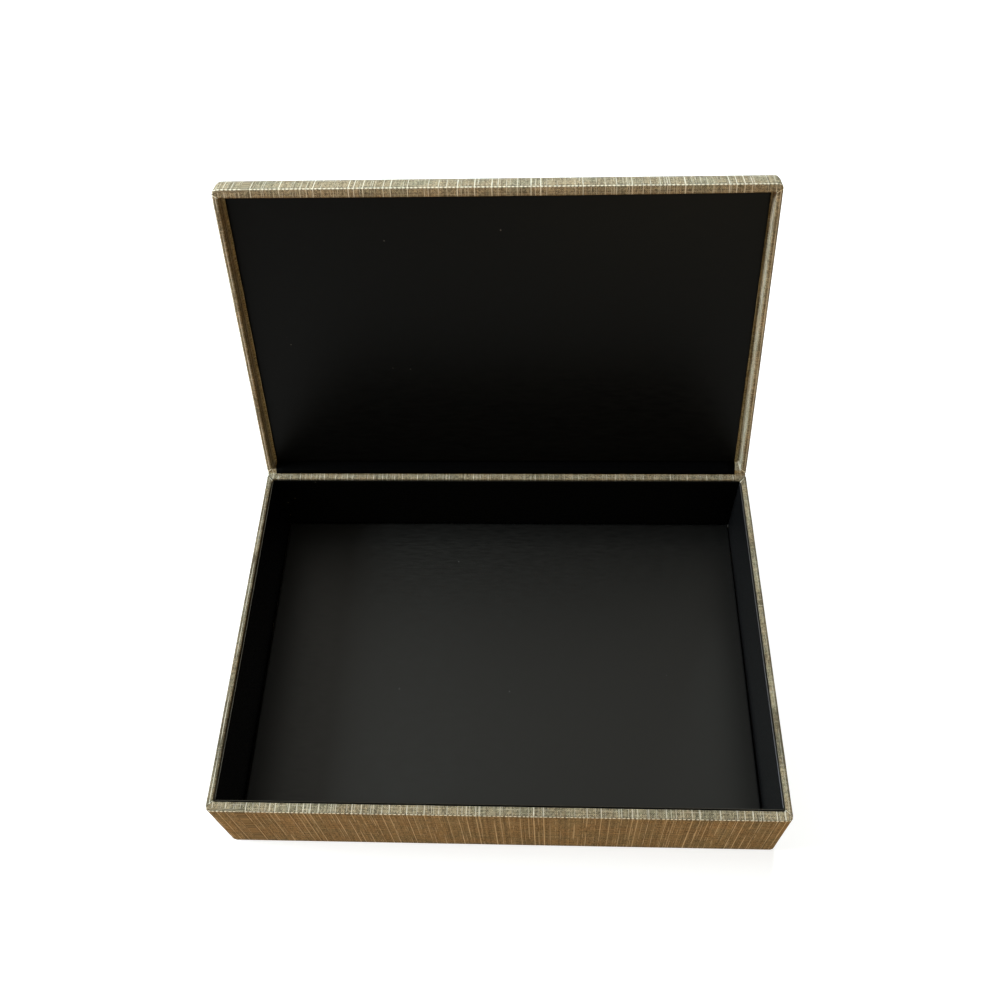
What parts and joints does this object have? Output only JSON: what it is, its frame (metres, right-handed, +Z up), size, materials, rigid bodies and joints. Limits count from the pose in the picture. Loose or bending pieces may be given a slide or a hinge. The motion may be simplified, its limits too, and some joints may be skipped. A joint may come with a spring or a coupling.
{
  "type": "hinged lid presentation box",
  "caption": "Flat rectangular presentation box with a shallow hinged lid, cloth-wrapped board walls, black card lining and a hidden magnetic closure.",
  "frame": {"origin": "centre of the bottom face, on the surface the box stands on", "axes": "+X along the box's width, to the right seen from the front; the front, which opens, faces -Y and the hinge is at the rear, +Y; +Z up"},
  "size_m": [0.3, 0.2686, 0.2514],
  "materials": {
    "slub_cloth": "matte",
    "black_card": "satin",
    "black_strip": "matte",
    "greyboard": "matte",
    "kraft_tape": "matte",
    "magnet_plating": "satin"
  },
  "bodies": {
    "base": {"base_floor_board": "greyboard", "base_front_board": "greyboard", "base_front_ply": "greyboard", "base_rear_board": "greyboard", "base_left_board": "greyboard", "base_right_board": "greyboard", "base_corner_stays": "kraft_tape", "base_side_cloth": "slub_cloth", "base_bottom_sheet": "slub_cloth", "base_magnets": "magnet_plating", "base_front_liner": "black_card", "base_rear_liner": "black_card", "base_left_liner": "black_card", "base_right_liner": "black_card", "base_floor_lining": "black_card", "spine_cloth": "slub_cloth"},
    "lid": {"lid_panel_board": "greyboard", "lid_front_board": "greyboard", "lid_front_ply": "greyboard", "lid_rear_board": "greyboard", "lid_left_board": "greyboard", "lid_right_board": "greyboard", "lid_corner_stays": "kraft_tape", "lid_cloth": "slub_cloth", "lid_magnets": "magnet_plating", "lid_panel_lining": "black_card", "hinge_lining": "black_strip"}
  },
  "joints": [
    {"name": "lid_hinge", "type": "hinge", "parent": "base", "child": "lid", "pos_m": [0, 0.10018, 0.0603], "axis": [1, 0, 0], "range_deg": [0, 107], "deforming": ["spine_cloth"]}
  ]
}
